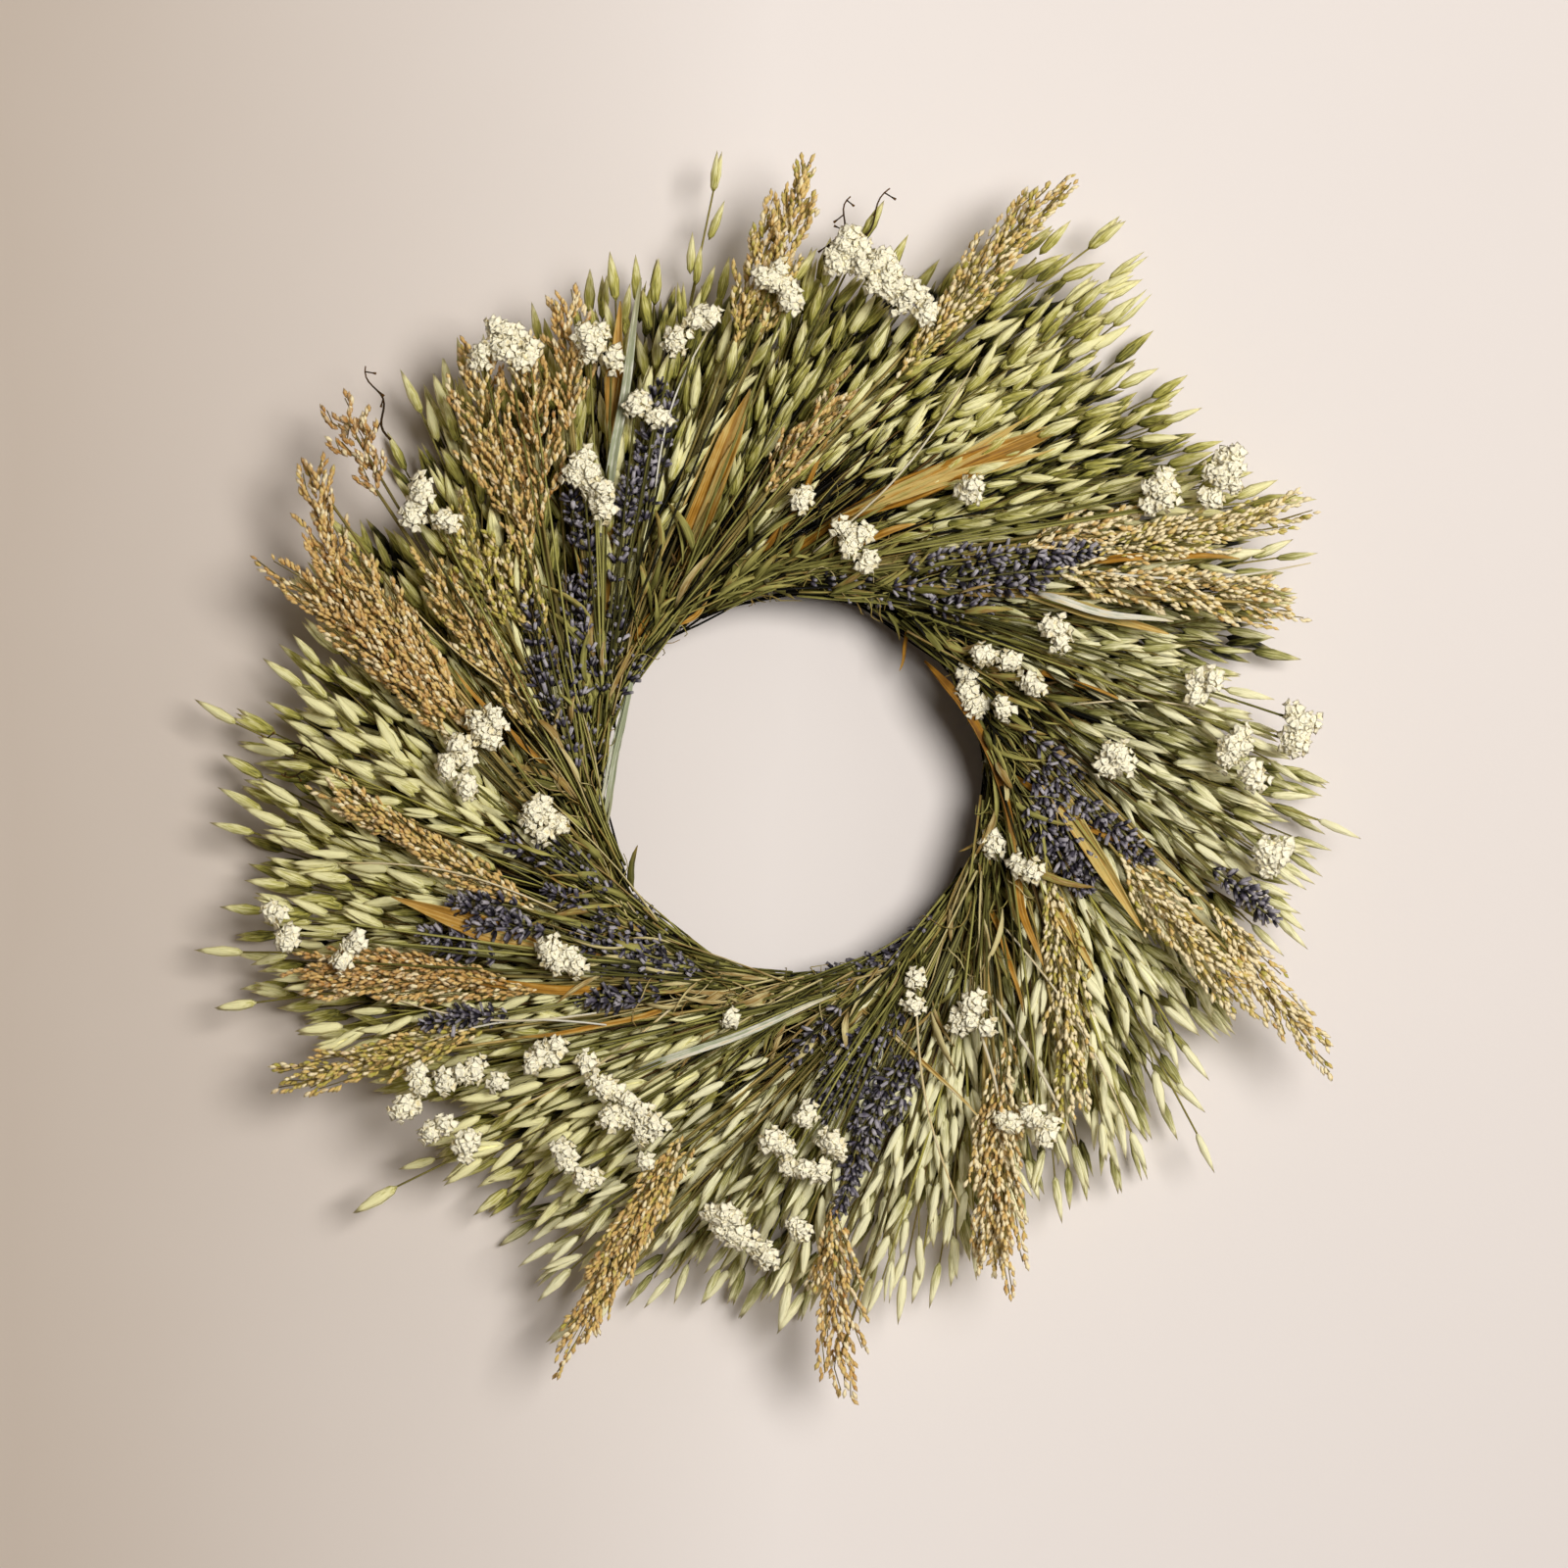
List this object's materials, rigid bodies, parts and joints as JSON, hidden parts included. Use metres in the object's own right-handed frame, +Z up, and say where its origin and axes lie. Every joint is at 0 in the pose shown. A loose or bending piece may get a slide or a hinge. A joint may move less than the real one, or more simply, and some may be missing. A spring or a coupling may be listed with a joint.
{
  "type": "oat wreath",
  "caption": "Round wreath of dried oats that swirl clockwise round an open middle, trimmed with millet, lavender, white statice and corn blades on a wire clamp ring.",
  "frame": {"origin": "bottom centre of the wreath's box, on the plane that the two rails of the clamp ring lie on", "axes": "+Z up, out of the wreath's face; +Y towards the wreath's top as it hangs; +X towards its right as seen from the front"},
  "size_m": [0.612, 0.6418, 0.099],
  "materials": {
    "clamp_ring": "dull green-grey wire, slightly tarnished",
    "oats": "dried grass stems and husks, matt with a papery sheen",
    "corn_blades": "dried leaf blades, papery, ribbed along their length",
    "millet": "dried seed heads, matt and grainy",
    "lavender": "dried flower spikes, matt",
    "statice": "dried papery florets, matt"
  },
  "bodies": {
    "root": {"clamp_ring": "clamp_ring", "corn_blade_01": "corn_blades", "corn_blade_02": "corn_blades", "corn_blade_03": "corn_blades", "corn_blade_04": "corn_blades", "corn_blade_05": "corn_blades", "corn_blade_06": "corn_blades", "corn_blade_07": "corn_blades", "lavender_01": "lavender", "lavender_02": "lavender", "lavender_03": "lavender", "lavender_04": "lavender", "lavender_05": "lavender", "lavender_07": "lavender", "lavender_08": "lavender", "lavender_09": "lavender", "lavender_10": "lavender", "lavender_12": "lavender", "millet_01": "millet", "millet_02": "millet", "millet_03": "millet", "millet_04": "millet", "millet_05": "millet", "millet_06": "millet", "millet_07": "millet", "millet_08": "millet", "millet_09": "millet", "millet_10": "millet", "millet_11": "millet", "millet_12": "millet", "oats_01": "oats", "oats_02": "oats", "oats_03": "oats", "oats_04": "oats", "oats_05": "oats", "oats_06": "oats", "oats_07": "oats", "oats_08": "oats", "oats_09": "oats", "oats_10": "oats", "oats_11": "oats", "oats_12": "oats", "statice_01": "statice", "statice_02": "statice", "statice_03": "statice", "statice_04": "statice", "statice_05": "statice", "statice_06": "statice", "statice_07": "statice", "statice_08": "statice", "statice_09": "statice", "statice_10": "statice", "statice_11": "statice", "statice_12": "statice"}
  },
  "joints": []
}
